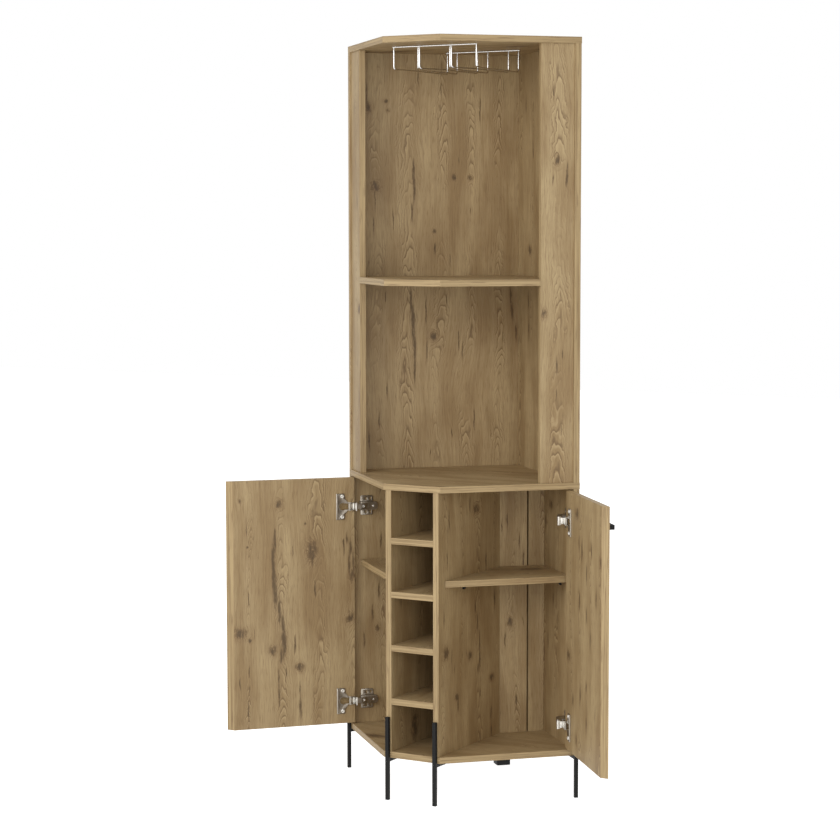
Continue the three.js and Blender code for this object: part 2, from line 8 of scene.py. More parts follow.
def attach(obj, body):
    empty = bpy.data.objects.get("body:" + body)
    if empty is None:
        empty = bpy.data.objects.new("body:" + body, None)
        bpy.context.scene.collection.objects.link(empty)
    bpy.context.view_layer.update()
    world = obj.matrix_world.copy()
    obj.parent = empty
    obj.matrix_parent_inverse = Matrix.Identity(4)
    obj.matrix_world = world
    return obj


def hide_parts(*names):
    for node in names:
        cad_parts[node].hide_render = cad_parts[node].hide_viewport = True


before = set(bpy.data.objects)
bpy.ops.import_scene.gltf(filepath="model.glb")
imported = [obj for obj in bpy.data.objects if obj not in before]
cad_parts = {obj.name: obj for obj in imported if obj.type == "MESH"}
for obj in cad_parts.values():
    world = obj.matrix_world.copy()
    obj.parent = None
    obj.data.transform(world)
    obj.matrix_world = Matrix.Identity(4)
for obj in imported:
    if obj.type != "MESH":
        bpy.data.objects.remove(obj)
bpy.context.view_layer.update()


# Oak-look laminate: melamine-faced particle board, printed with a rustic oak. The eye gets soft
# stripes a finger wide, cathedral figure in columns, filled cracks and grey-brown knots, and a
# dull sheen from the embossed pores. The print lies on each board's own map, in metres, with u
# along the grain. The pores are drawn 1.6 mm apart, coarser than the real 0.5 mm.
def linear(code):
    """An sRGB hex colour as linear RGBA."""
    values = [int(code[i:i + 2], 16) / 255 for i in (0, 2, 4)]
    return [v / 12.92 if v <= 0.04045 else ((v + 0.055) / 1.055) ** 2.4 for v in values] + [1.0]


def add_node(tree, kind, settings=None, inputs=None, stops=None):
    """Adds a node; an input is a value, a node (its first output) or an output to link."""
    made = tree.nodes.new(kind)
    for name, value in (settings or {}).items():
        setattr(made, name, value)
    for name, value in (inputs or {}).items():
        if isinstance(value, bpy.types.Node):
            value = value.outputs[0]
        if isinstance(value, bpy.types.NodeSocket):
            tree.links.new(value, made.inputs[name])
        else:
            made.inputs[name].default_value = value
    if stops:
        places = made.color_ramp.elements
        while len(places) < len(stops):
            places.new(0.5)
        for element, (place, colour) in zip(places, stops):
            element.position = place
            element.color = colour
    return made


def new_material(name):
    """A new node material, its tree and its shader."""
    made = bpy.data.materials.new(name)
    made.use_nodes = True
    return made, made.node_tree, made.node_tree.nodes["Principled BSDF"]


WHITE, BLACK = (1, 1, 1, 1), (0, 0, 0, 1)
VECTOR, MATH, RANGE = "ShaderNodeVectorMath", "ShaderNodeMath", "ShaderNodeMapRange"
NOISE, RAMP, MIX = "ShaderNodeTexNoise", "ShaderNodeValToRGB", "ShaderNodeMix"
plane = {"noise_dimensions": "2D"}
times, plus = {"operation": "MULTIPLY"}, {"operation": "ADD"}
times_plus, divide = {"operation": "MULTIPLY_ADD"}, {"operation": "DIVIDE"}
dot, power, larger = {"operation": "DOT_PRODUCT"}, {"operation": "POWER"}, {"operation": "MAXIMUM"}
oak = {
    "light": linear("b29b73"), "middle": linear("957c56"), "dark": linear("785d3d"),
    "pale": linear("bfa77d"), "figure": linear("685036"), "knot": linear("4c3f2c"),
    "crack": linear("514029"),
}


def oak_laminate(name, shift=(0.0, 0.0), knots=(), cracks=(), columns=0.088):
    """The print of one board; its knots and cracks are given in mm: height, across, half sizes."""
    material, tree, shader = new_material(name)
    uv = add_node(tree, "ShaderNodeUVMap", {"uv_map": "grain"})
    parts = add_node(tree, "ShaderNodeSeparateXYZ", {}, {0: uv})
    # The grain wanders slowly, 25 mm in half a metre, and shakes by a few where it is wild
    slow = add_node(tree, VECTOR, times, {0: uv, 1: (2.4, 4.0, 1.0)})
    slow = add_node(tree, NOISE, plane, {"Vector": slow, "Scale": 1.0, "Detail": 1.0})
    quick = add_node(tree, VECTOR, times, {0: uv, 1: (26.0, 38.0, 1.0)})
    quick = add_node(tree, NOISE, plane, {
        "Vector": quick, "Scale": 1.0, "Detail": 3.0, "Roughness": 0.6})
    bend = add_node(tree, MATH, times_plus, {0: slow, 1: 0.050, 2: -0.025})
    shake = add_node(tree, MATH, times_plus, {0: quick, 1: 0.014, 2: -0.007})

    # Each knot pushes the grain aside and closes the rings round itself. At its half sizes its pull
    # has fallen to three tenths.
    pull = None
    knot_scale = 1100
    for height, across, half_long, half_wide in knots:
        long, wide = knot_scale / half_long, knot_scale / half_wide
        start = (-(height / 1000 + shift[0]) * long, -(across / 1000 + shift[1]) * wide, 1.0)
        put = add_node(tree, VECTOR, times_plus, {0: uv, 1: (long, wide, 0.0), 2: start})
        square = add_node(tree, VECTOR, dot, {0: put, 1: put}).outputs["Value"]
        near = add_node(tree, MATH, power, {0: square, 1: -1.5})
        put = add_node(tree, VECTOR, {"operation": "SCALE"}, {0: put, "Scale": near})
        pull = add_node(tree, VECTOR, plus, {0: pull, 1: put}) if pull else put
    if pull:
        pull = add_node(tree, "ShaderNodeSeparateXYZ", {}, {0: pull})
        nearness, push = pull.outputs["Z"], pull.outputs["Y"]
    else:
        # A board whose knots aren't placed has one in about every third cell of 300 by 140 mm
        knot_size = 0.008
        cells = add_node(tree, VECTOR, times, {0: uv, 1: (3.3, 7.0, 1.0)})
        cells = add_node(tree, "ShaderNodeTexVoronoi", {"voronoi_dimensions": "2D"}, {
            "Vector": cells, "Scale": 1.0})
        away = cells.outputs["Distance"]
        near = add_node(tree, MATH, times_plus, {0: away, 1: away, 2: knot_size})
        near = add_node(tree, MATH, divide, {0: knot_size, 1: near})
        chosen = add_node(tree, RAMP, {}, {"Fac": cells.outputs["Color"]}, [
            (0.72, BLACK), (0.75, WHITE)])
        nearness = add_node(tree, MATH, times, {0: near, 1: chosen})
        push = nearness
    push = add_node(tree, MATH, times_plus, {0: push, 1: -0.020, 2: parts.outputs["Y"]})
    across = add_node(tree, MATH, plus, {0: push, 1: bend})
    wavy = add_node(tree, MATH, plus, {0: across, 1: shake})
    across = add_node(tree, MATH, times_plus, {0: shake, 1: 0.25, 2: across})
    flow = add_node(tree, "ShaderNodeCombineXYZ", {}, {"X": parts.outputs["X"], "Y": across})

    # Cathedral figure: columns of nested arches, each column with a size of its own
    arches_per_metre, steepness = 24.0, 5600.0
    column = add_node(tree, MATH, times, {0: wavy, 1: 1 / columns})
    cell = add_node(tree, MATH, {"operation": "FLOOR"}, {0: column})
    size = add_node(tree, "ShaderNodeTexWhiteNoise", {"noise_dimensions": "1D"}, {"W": cell})
    size = add_node(tree, MATH, times_plus, {0: size, 1: 0.75, 2: 0.40})
    off_middle = add_node(tree, MATH, {"operation": "FRACT"}, {0: column})
    off_middle = add_node(tree, MATH, times_plus, {0: off_middle, 1: columns, 2: -columns / 2})
    off_middle = add_node(tree, MATH, divide, {0: off_middle, 1: size})
    arch = add_node(tree, MATH, times, {0: off_middle, 1: off_middle})
    along = add_node(tree, MATH, divide, {0: arches_per_metre, 1: size})
    along = add_node(tree, MATH, times, {0: parts.outputs["X"], 1: along})
    rings = add_node(tree, MATH, times_plus, {0: arch, 1: steepness, 2: along})
    wander = add_node(tree, VECTOR, times, {0: flow, 1: (8.0, 30.0, 1.0)})
    wander = add_node(tree, NOISE, plane, {"Vector": wander, "Scale": 1.0})
    rings = add_node(tree, MATH, times_plus, {0: wander, 1: 4.5, 2: rings})
    rings = add_node(tree, MATH, times_plus, {0: nearness, 1: 7.0, 2: rings})
    ring = add_node(tree, MATH, {"operation": "FRACT"}, {0: rings})
    ring_dark = add_node(tree, RAMP, {}, {"Fac": ring}, [
        (0.0, WHITE), (0.07, (0.75, 0.75, 0.75, 1)), (0.30, BLACK), (0.94, BLACK), (1.0, WHITE)])
    ring_pale = add_node(tree, RAMP, {}, {"Fac": ring}, [
        (0.55, BLACK), (0.86, WHITE), (0.95, BLACK)])
    inside = add_node(tree, MATH, {"operation": "ABSOLUTE"}, {0: off_middle})
    inside = add_node(tree, RANGE, {}, {
        "Value": inside, "From Min": 0.009, "From Max": 0.034, "To Min": 1.0, "To Max": 0.0})
    patch = add_node(tree, VECTOR, times, {0: flow, 1: (4.0, 11.0, 1.0)})
    patch = add_node(tree, NOISE, plane, {"Vector": patch, "Scale": 1.0})
    patch = add_node(tree, RANGE, {}, {
        "Value": patch, "From Min": 0.40, "From Max": 0.60, "To Min": 0.10, "To Max": 1.0})
    shown = add_node(tree, MATH, times, {0: inside, 1: patch})
    around = add_node(tree, RANGE, {}, {
        "Value": nearness, "From Min": 0.06, "From Max": 0.35, "To Min": 0.0, "To Max": 0.8})
    shown = add_node(tree, MATH, larger, {0: shown, 1: around})

    # Tone in stripes 50 mm wide and half a metre long, with clouds a hand wide
    tone = add_node(tree, VECTOR, times, {0: flow, 1: (1.8, 20.0, 1.0)})
    tone = add_node(tree, NOISE, plane, {
        "Vector": tone, "Scale": 1.0, "Detail": 3.0, "Roughness": 0.55})
    cloud = add_node(tree, VECTOR, times, {0: flow, 1: (5.0, 14.0, 1.0)})
    cloud = add_node(tree, NOISE, plane, {"Vector": cloud, "Scale": 1.0})
    tone = add_node(tree, MATH, plus, {0: tone, 1: cloud})
    tone = add_node(tree, MATH, times, {0: tone, 1: 0.5})
    colour = add_node(tree, RAMP, {}, {"Fac": tone}, [(0.37, oak["middle"]), (0.61, oak["light"])])
    colour = colour.outputs[0]
    # Fibres 4 mm apart, pores, and the light and dark side of each ring
    streak = add_node(tree, VECTOR, times, {0: flow, 1: (6.0, 260.0, 1.0)})
    streak = add_node(tree, NOISE, plane, {
        "Vector": streak, "Scale": 1.0, "Detail": 3.0, "Roughness": 0.65})
    fibre = add_node(tree, RAMP, {}, {"Fac": streak}, [
        (0.30, (0.36, 0.36, 0.36, 1)), (0.58, BLACK)])
    pore = add_node(tree, VECTOR, times, {0: flow, 1: (34.0, 620.0, 1.0)})
    pore = add_node(tree, NOISE, plane, {"Vector": pore, "Scale": 1.0, "Detail": 1.0})
    pore = add_node(tree, RAMP, {}, {"Fac": pore}, [(0.30, (0.4, 0.4, 0.4, 1)), (0.44, BLACK)])
    pale = add_node(tree, MATH, times, {0: shown, 1: ring_pale})
    pale = add_node(tree, MATH, times, {0: pale, 1: 0.6})
    lines = add_node(tree, MATH, times, {0: shown, 1: ring_dark})
    lines = add_node(tree, MATH, times, {0: lines, 1: 0.75})
    # Knots: a grey-brown heart with a ragged edge in a soft halo
    ragged = add_node(tree, VECTOR, times, {0: uv, 1: (55.0, 150.0, 1.0)})
    ragged = add_node(tree, NOISE, plane, {
        "Vector": ragged, "Scale": 1.0, "Detail": 4.0, "Roughness": 0.7})
    ragged = add_node(tree, MATH, times_plus, {0: ragged, 1: 3.4, 2: -0.75})
    ragged = add_node(tree, MATH, times, {0: nearness, 1: ragged})
    halo = add_node(tree, RAMP, {}, {"Fac": ragged}, [(0.05, BLACK), (0.55, (0.8, 0.8, 0.8, 1))])
    heart = add_node(tree, RAMP, {}, {"Fac": ragged}, [
        (0.28, BLACK), (0.85, (0.72, 0.72, 0.72, 1))])

    # Cracks, filled dark, up to 9 mm wide: the placed ones, and a few thin stray ones
    course = add_node(tree, MATH, times_plus, {0: shake, 1: 0.5, 2: parts.outputs["Y"]})
    course = add_node(tree, "ShaderNodeCombineXYZ", {}, {"X": parts.outputs["X"], "Y": course})
    stray = add_node(tree, VECTOR, times, {0: course, 1: (9.0, 95.0, 1.0)})
    stray = add_node(tree, NOISE, plane, {"Vector": stray, "Scale": 1.0})
    opened = add_node(tree, RANGE, {}, {
        "Value": stray, "From Min": 0.26, "From Max": 0.18, "To Min": 0.0, "To Max": 0.9})
    crack_scale_long, crack_scale_wide = 800, 640
    for height, across, half_long, half_wide in cracks:
        long, wide = crack_scale_long / half_long, crack_scale_wide / half_wide
        start = (-(height / 1000 + shift[0]) * long, -(across / 1000 + shift[1]) * wide, 1.0)
        put = add_node(tree, VECTOR, times_plus, {0: course, 1: (long, wide, 0.0), 2: start})
        square = add_node(tree, VECTOR, dot, {0: put, 1: put}).outputs["Value"]
        near = add_node(tree, MATH, power, {0: square, 1: -2.0})
        opened = add_node(tree, MATH, plus, {0: opened, 1: near})
    broken = add_node(tree, VECTOR, times, {0: uv, 1: (60.0, 300.0, 1.0)})
    broken = add_node(tree, NOISE, plane, {"Vector": broken, "Scale": 1.0, "Roughness": 0.6})
    broken = add_node(tree, MATH, times, {0: broken, 1: 2.0})
    gap = add_node(tree, MATH, times, {0: opened, 1: broken})
    gap = add_node(tree, RAMP, {}, {"Fac": gap}, [(0.27, BLACK), (0.82, (0.76, 0.76, 0.76, 1))])
    shade = add_node(tree, RAMP, {}, {"Fac": opened}, [
        (0.03, BLACK), (0.7, (0.55, 0.55, 0.55, 1))])

    for share, over in (
        (fibre, "dark"), (pore, "dark"), (pale, "pale"), (lines, "figure"),
        (halo, "dark"), (heart, "knot"), (shade, "dark"), (gap, "crack"),
    ):
        mixed = add_node(tree, MIX, {"data_type": "RGBA"}, {0: share, 6: colour, 7: oak[over]})
        colour = mixed.outputs[2]
    tree.links.new(colour, shader.inputs["Base Color"])
    rough = add_node(tree, RANGE, {}, {"Value": streak, "To Min": 0.50, "To Max": 0.62})
    tree.links.new(rough.outputs[0], shader.inputs["Roughness"])
    shader.inputs["IOR"].default_value = 1.45
    relief = add_node(tree, MATH, {"operation": "SUBTRACT"}, {0: streak, 1: gap})
    bump = add_node(tree, "ShaderNodeBump", {}, {
        "Strength": 0.3, "Distance": 0.0003, "Height": relief})
    tree.links.new(bump.outputs[0], shader.inputs["Normal"])
    return material


# Edge band: a strip of the same print, 0.4 mm thick and glued to the board's edges. The eye gets
# a paler, plainer oak than the faces, in fine stripes along the edge.
edge_band, tree, shader = new_material("oak_edge_band")
uv = add_node(tree, "ShaderNodeUVMap", {"uv_map": "grain"})
stripe = add_node(tree, VECTOR, times, {0: uv, 1: (3.0, 260.0, 1.0)})
stripe = add_node(tree, NOISE, plane, {
    "Vector": stripe, "Scale": 1.0, "Detail": 3.0, "Roughness": 0.6})
colour = add_node(tree, RAMP, {}, {"Fac": stripe}, [
    (0.32, linear("8c7450")), (0.62, linear("b0986f"))])
fleck = add_node(tree, VECTOR, times, {0: uv, 1: (16.0, 420.0, 1.0)})
fleck = add_node(tree, NOISE, plane, {"Vector": fleck, "Scale": 1.0})
fleck = add_node(tree, RAMP, {}, {"Fac": fleck}, [(0.26, (0.7, 0.7, 0.7, 1)), (0.40, BLACK)])
colour = add_node(tree, MIX, {"data_type": "RGBA"}, {0: fleck, 6: colour, 7: linear("765e40")})
tree.links.new(colour.outputs[2], shader.inputs["Base Color"])
rough = add_node(tree, RANGE, {}, {"Value": stripe, "To Min": 0.46, "To Max": 0.60})
tree.links.new(rough.outputs[0], shader.inputs["Roughness"])
shader.inputs["IOR"].default_value = 1.45

plain_laminate = oak_laminate("oak_laminate")
up = Vector((0, 0, 1))
across_front = Vector((1, 0, 0))
into_room = Vector((0, 1, 0))
right_facet = Vector((-1, -1, 0)).normalized()
left_facet = Vector((1, -1, 0)).normalized()
faces_left, faces_right = right_facet, left_facet


def merged_copy(name):
    """A CAD node's shape, with its triangles merged to flat faces."""
    shape = bmesh.new()
    shape.from_mesh(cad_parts[name].data)
    bmesh.ops.remove_doubles(shape, verts=shape.verts, dist=1e-6)
    bmesh.ops.dissolve_limit(shape, angle_limit=0.01, verts=shape.verts, edges=shape.edges)
    for face in shape.faces:
        face.smooth = False
    return shape


def sharp_edges(shape):
    """The edges between faces that meet at more than half a radian."""
    return [e for e in shape.edges if e.is_manifold and e.calc_face_angle() > 0.5]


def bevel_round(shape, edges, radius, segments):
    """Bevels the edges and gives the new faces."""
    return bmesh.ops.bevel(
        shape, geom=edges, offset=radius, offset_type="OFFSET", segments=segments, profile=0.5,
        affect="EDGES", clamp_overlap=True, material=-1,
    )["faces"]


def board(name, face_normal, grain, shift, body="cabinet", knots=(), cracks=(), columns=0.088):
    """The board of a CAD node: eased edges, laminate faces and banded edges."""
    eased = 0.0004
    shape = merged_copy(name)
    bevel_round(shape, sharp_edges(shape), eased, 2)
    # Across is measured from the viewer's left edge of the face that shows
    rightwards = grain.cross(face_normal)
    low = min(vertex.co.dot(rightwards) for vertex in shape.verts)
    grain_map = shape.loops.layers.uv.new("grain")
    for face in shape.faces:
        facing = face.normal.dot(face_normal)
        banded = abs(facing) < 0.8
        face.material_index = int(banded)
        for loop in face.loops:
            place = loop.vert.co
            if not banded:
                # The reverse has a stretch of print of its own
                start = shift[0] if facing > 0 else shift[0] + 5.0
                sideways = place.dot(rightwards) - low + shift[1]
                loop[grain_map].uv = (place.dot(grain) + start, sideways)
                continue
            # A band's print runs along the edge that it covers
            run = face_normal.cross(face.normal).normalized()
            loop[grain_map].uv = (place.dot(run) + shift[0], place.dot(face_normal) + shift[1])
    made = bpy.data.meshes.new(f"{name}_board")
    shape.to_mesh(made)
    shape.free()
    printed = plain_laminate
    if knots or cracks:
        printed = oak_laminate(f"oak_laminate_{name}", shift, knots, cracks, columns)
    made.materials.append(printed)
    made.materials.append(edge_band)
    piece = bpy.data.objects.new(f"{name}_board", made)
    bpy.context.scene.collection.objects.link(piece)
    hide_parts(name)
    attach(piece, body)
    return piece


# Base, worktop and top: three boards of the whole five-sided plan, the grain from side to side,
# screwed and dowelled to the upright boards
board("base_panel", up, across_front, (0.31, 0.12))
board("worktop", up, across_front, (1.43, 0.55))
board("top_panel", up, across_front, (2.71, 0.23))

# Side panels against the walls, the grain upright: the lower pair under the worktop and the
# upper pair on it, each cut at 45 degrees where they meet in the corner
board("lower_side_right", faces_left, up, (0.0, 1.21), knots=[(684, 283, 12, 14)], cracks=[
    (642, 245, 24, 3), (453, 302, 20, 3), (348, 264, 20, 3)])
board("lower_side_left", faces_right, up, (1.7, 0.93), knots=[
    (354, 68, 10, 7), (171, 43, 10, 7)], cracks=[
    (450, 71, 23, 2), (394, 55, 23, 2), (324, 33, 20, 2), (576, 77, 20, 2)])
board("upper_side_right", faces_left, up, (3.3, 2.21), knots=[(1301, 111, 14, 14)], cracks=[
    (1102, 103, 25, 3), (1177, 100, 22, 3), (1660, 75, 20, 3), (1547, 133, 25, 3)])
board("upper_side_left", faces_right, up, (5.0, 0.356), columns=0.0777, knots=[
    (1651, 46, 15, 9), (1668, 93, 5, 5), (1646, 98, 5, 5), (1482, 268, 9, 7), (1480, 309, 6, 6),
    (1348, 216, 6, 5), (1086, 215, 12, 11), (1459, 65, 14, 13)], cracks=[
    (1499, 163, 25, 2.1), (1450, 165, 30, 2.3), (1395, 159, 25, 2.1), (1682, 44, 29, 2),
    (1425, 64, 25, 1.3), (1363, 60, 20, 1.3), (1177, 156, 30, 2.1), (1127, 161, 35, 3.1),
    (1064, 165, 35, 2.8), (996, 166, 30, 2.1), (1151, 195, 35, 1.3), (1051, 197, 30, 1.3),
    (1187, 416, 23, 2.4), (1144, 421, 25, 2.6), (1093, 431, 25, 2.1), (1050, 290, 25, 1),
    (878, 73, 20, 1.5), (829, 47, 25, 1.5), (953, 94, 20, 1.5), (872, 320, 30, 1.6),
    (1176, 249, 20, 1), (1733, 175, 25, 1.3), (1697, 234, 25, 1), (1649, 335, 30, 1.3)])

# Stiles beside the open part: upright boards, dowelled between worktop and top, with a banded
# inner edge
board("stile_right", faces_right, up, (0.4, 2.2), knots=[
    (1156, 9, 12, 8), (1514, 40, 13, 7)], cracks=[
    (1489, 64, 19, 1.7), (1464, 64, 12, 2), (1517, 43, 12, 1.2), (1672, 31, 18, 1.2),
    (1033, 40, 19, 1.7), (1061, 55, 12, 1.2), (965, 39, 14, 1), (1468, 30, 12, 1),
    (882, 52, 14, 1)])
board("stile_left", faces_left, up, (2.4, 2.9), knots=[(1158, 76, 13, 14)], cracks=[
    (1424, 57, 29, 2.6), (936, 70, 25, 2.6), (1650, 30, 20, 1.5)])

# Upper shelf: one board of the same laminate, cut round the stiles, set between the upper side
# panels and banded on its three front edges
board("upper_shelf", up, across_front, (3.9, 1.37))

# Rack: two dividers and a back of upright grain, and four shelves with the grain front to back,
# dowelled together and banded in front
board("divider_right", across_front, up, (4.4, 3.1), knots=[
    (357, 36, 17, 16), (334, 154, 12, 12), (685, 184, 13, 16), (262, 266, 11, 12),
    (244, 90, 9, 11)], cracks=[
    (450, 180, 18, 2.6), (409, 192, 21, 2.6), (364, 202, 25, 2.6), (315, 204, 21, 2.6),
    (297, 195, 12, 2.6), (176, 262, 20, 2.6), (131, 264, 12, 2.6), (698, 154, 20, 2.5),
    (673, 51, 24, 2.4), (579, 41, 19, 1.9), (236, 205, 14, 2.6), (224, 95, 16, 2.5),
    (439, 26, 19, 1.9), (555, 235, 24, 2.6), (451, 279, 25, 2.6)])
board("divider_left", across_front, up, (5.9, 3.6))
board("rack_back", -into_room, up, (6.5, 0.3))
for number in range(1, 5):
    board(f"rack_shelf_{number}", up, into_room, (number * 0.73, 4.1))

# Compartment backs: the board across the corner and the narrow batten at the wall; the loose
# shelves lie before them with the grain along the facet
board("back_board_right", faces_right, up, (0.9, 5.2), knots=[(391, 27, 13, 8)], cracks=[
    (644, 19, 20, 1.5), (593, 50, 20, 1.7), (347, 14, 20, 1.5), (196, 43, 20, 1.5),
    (544, 60, 25, 1.5)])
board("back_board_left", faces_left, up, (2.1, 5.2))
for side, facing, facet, place in (
    ("right", faces_right, right_facet, 0.9), ("left", faces_left, left_facet, 2.1),
):
    board(f"back_batten_{side}", facing, up, (place, 5.9))
    board(f"side_shelf_{side}", up, facet, (place, 6.4))

# Doors: upright grain and a mitred free edge. Two pockets are milled for the hinges, and show
# the core: particle board, pressed from wood chips 1 to 2 mm long.
core_board, tree, shader = new_material("particle_board_core")
chips = add_node(tree, "ShaderNodeTexVoronoi", {}, {
    "Vector": add_node(tree, "ShaderNodeTexCoord").outputs["Object"], "Scale": 700.0})
colour = add_node(tree, RAMP, {}, {"Fac": chips.outputs["Color"]}, [
    (0.15, linear("b39b70")), (0.5, linear("a58c63")), (0.85, linear("967d57"))])
tree.links.new(colour.outputs[0], shader.inputs["Base Color"])
shader.inputs["Roughness"].default_value = 0.85

# The door's own place: x along it from the hinged edge, y outward from its inner face
across_mirror = Matrix.Scale(-1, 4, (1, 0, 0))
pivot = Matrix.Translation((0.303519, -0.225884, 0))
door_place = {}
for side, open_degrees in (("right", 86.0), ("left", 87.6)):
    turned = pivot @ Matrix.Rotation(math.radians(open_degrees - 135), 4, "Z")
    door_place[side] = turned @ Matrix.Translation((-0.00176, -0.0122, 0))
door_place["left"] = across_mirror @ door_place["left"]
hinge_heights = {"upper": 0.6658, "lower": 0.1764}
pocket_start, pocket_end, pocket_half = 0.005, 0.045, 0.0125
pocket_mouth, pocket_floor = 0.0006, 0.0125
door_features = {
    "right": (0.0, 7.3, [
        (694, 98, 15, 16), (349, 27, 14, 15), (609, 307, 11, 12)], [
        (611, 144, 26, 4.6), (624, 118, 18, 4), (623, 226, 16, 4), (604, 307, 16, 3.6),
        (274, 133, 26, 4.4), (301, 185, 16, 4), (496, 124, 22, 4.4), (418, 218, 22, 4),
        (250, 70, 16, 4), (519, 267, 22, 4), (215, 187, 18, 4), (160, 99, 16, 4),
        (566, 186, 24, 4.2), (470, 186, 20, 3.8)]),
    "left": (8.05, 7.995, [
        (557, 214, 30, 16), (361, 30, 14, 20), (341, 56, 5, 4), (314, 113, 13, 10),
        (269, 181, 12, 11), (689, 32, 5, 5), (677, 129, 11, 9), (493, 318, 16, 9),
        (385, 313, 14, 12), (574, 50, 3, 3), (627, 197, 3, 3)], [
        (594, 119, 26, 2.2), (550, 114, 28, 2.4), (505, 115, 38, 3.0), (455, 120, 36, 3.4),
        (412, 130, 32, 2.8), (369, 139, 32, 3.0), (326, 142, 30, 3.4), (297, 134, 16, 2.6),
        (196, 127, 24, 2), (249, 127, 19, 1.3), (165, 183, 26, 3), (216, 181, 16, 1.2),
        (587, 303, 14, 2.2), (564, 313, 22, 2.4), (519, 309, 22, 2.6), (526, 320, 30, 1.8),
        (264, 53, 13, 1.3), (164, 50, 28, 1.3), (617, 49, 15, 1), (443, 52, 20, 1),
        (535, 214, 15, 1.3)]),
}
for side, (place_u, place_v, knots, cracks) in door_features.items():
    inner = door_place[side].to_3x3() @ Vector((0, -1, 0))
    leaf = board(f"door_{side}", inner, up, (place_u, place_v), f"{side}_door", knots, cracks)
    leaf.data.materials.append(core_board)
    core_finish = len(leaf.data.materials) - 1
    from_door = door_place[side].inverted()
    for face in leaf.data.polygons:
        middle = from_door @ face.center
        by_hinge = min(abs(middle.z - height) for height in hinge_heights.values())
        in_pocket = by_hinge < pocket_half and pocket_start < middle.x < pocket_end
        if in_pocket and pocket_mouth < middle.y < pocket_floor:
            face.material_index = core_finish

# Shelf supports and glides: moulded black plastic, faintly grained, pushed into the boards and
# into the tubes. The rear leg is a moulded post with a flange, screwed under the base.
black_plastic, tree, shader = new_material("moulded_black_plastic")
grain = add_node(tree, NOISE, {}, {
    "Vector": add_node(tree, "ShaderNodeTexCoord").outputs["Object"], "Scale": 900.0})
colour = add_node(tree, RAMP, {}, {"Fac": grain}, [
    (0.3, linear("0c0c0d")), (0.7, linear("161617"))])
tree.links.new(colour.outputs[0], shader.inputs["Base Color"])
shader.inputs["Roughness"].default_value = 0.55
shader.inputs["Specular IOR Level"].default_value = 0.3
bump = add_node(tree, "ShaderNodeBump", {}, {"Strength": 0.2, "Distance": 0.0001, "Height": grain})
tree.links.new(bump.outputs[0], shader.inputs["Normal"])


def eased_copy(name, radius, segments=2, close_to=None):
    """A CAD node's shape with its sharp edges rounded, or only those that close_to picks."""
    shape = merged_copy(name)
    round_off(shape, radius, segments, close_to)
    return shape


def round_off(shape, radius, segments, close_to=None):
    """Rounds the edges of a shape; the flat faces between them stay flat shaded."""
    sharp = sharp_edges(shape)
    if close_to:
        sharp = [e for e in sharp if close_to(*(vertex.co for vertex in e.verts))]
    for face in bevel_round(shape, sharp, radius, segments):
        face.smooth = True


def join_shapes(shape, added):
    """Adds a second shape to the first."""
    carrier = bpy.data.meshes.new("carrier")
    added.to_mesh(carrier)
    added.free()
    shape.from_mesh(carrier)
    bpy.data.meshes.remove(carrier)


def screw_head(shape, place, radius, rise, finish=0, socket=0.26):
    """Adds a pan head with a cross recess; socket is the share of it that is sunk all round."""
    cross, cross_half_degrees = 0.6, 12
    head = bmesh.new()
    last = None
    for out, height in ((0, 1), (0.28, 1), (cross, 1), (0.84, 0.94), (0.96, 0.6), (1, 0)):
        point = head.verts.new((out * radius, 0, height * rise))
        if last:
            head.edges.new((last, point))
        last = point
    bmesh.ops.spin(
        head, geom=head.verts[:] + head.edges[:], cent=(0, 0, 0), axis=(0, 0, 1), angle=math.tau,
        steps=32, use_merge=True,
    )
    bmesh.ops.remove_doubles(head, verts=head.verts, dist=1e-7)
    bmesh.ops.recalc_face_normals(head, faces=head.faces)
    recess = []
    for face in head.faces:
        middle = face.calc_center_median()
        turned = math.degrees(math.atan2(middle.y, middle.x)) % 90
        out = middle.to_2d().length / radius
        if out < socket or (out < cross and min(turned, 90 - turned) < cross_half_degrees):
            recess.append(face)
    sunk = bmesh.ops.extrude_face_region(head, geom=recess)["geom"]
    bmesh.ops.translate(
        head, verts=[item for item in sunk if isinstance(item, bmesh.types.BMVert)],
        vec=(0, 0, -max(rise, 0.4 * radius)),
    )
    bmesh.ops.delete(head, geom=recess, context="FACES")
    bmesh.ops.transform(head, matrix=place, verts=head.verts)
    bmesh.ops.recalc_face_normals(head, faces=head.faces)
    for face in head.faces:
        face.smooth = True
        face.material_index = finish
    join_shapes(shape, head)


def formed_piece(name, shape, material, body="cabinet", second=None):
    """The finished shape as the piece that stands for a CAD node."""
    sharp_from = 0.7
    made = bpy.data.meshes.new(f"{name}_formed")
    shape.to_mesh(made)
    shape.free()
    made.set_sharp_from_angle(angle=sharp_from)
    made.materials.append(material)
    if second:
        made.materials.append(second)
    piece = bpy.data.objects.new(f"{name}_formed", made)
    bpy.context.scene.collection.objects.link(piece)
    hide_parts(name)
    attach(piece, body)
    return piece


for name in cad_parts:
    if name.startswith(("support_", "glide_")):
        formed_piece(name, eased_copy(name, 0.0003), black_plastic)
post = eased_copy("rear_leg", 0.0008, 3)
facing_down = Matrix.Rotation(math.pi, 4, "X")
flange_corner = Matrix.Translation((0.0222, 0.0222, 0.097)) @ facing_down
for turn in range(4):
    turned = Matrix.Rotation(math.pi / 4 + turn * math.pi / 2, 4, "Z")
    screw_head(post, turned @ flange_corner, 0.0036, 0.0016)
formed_piece("rear_leg", post, black_plastic)

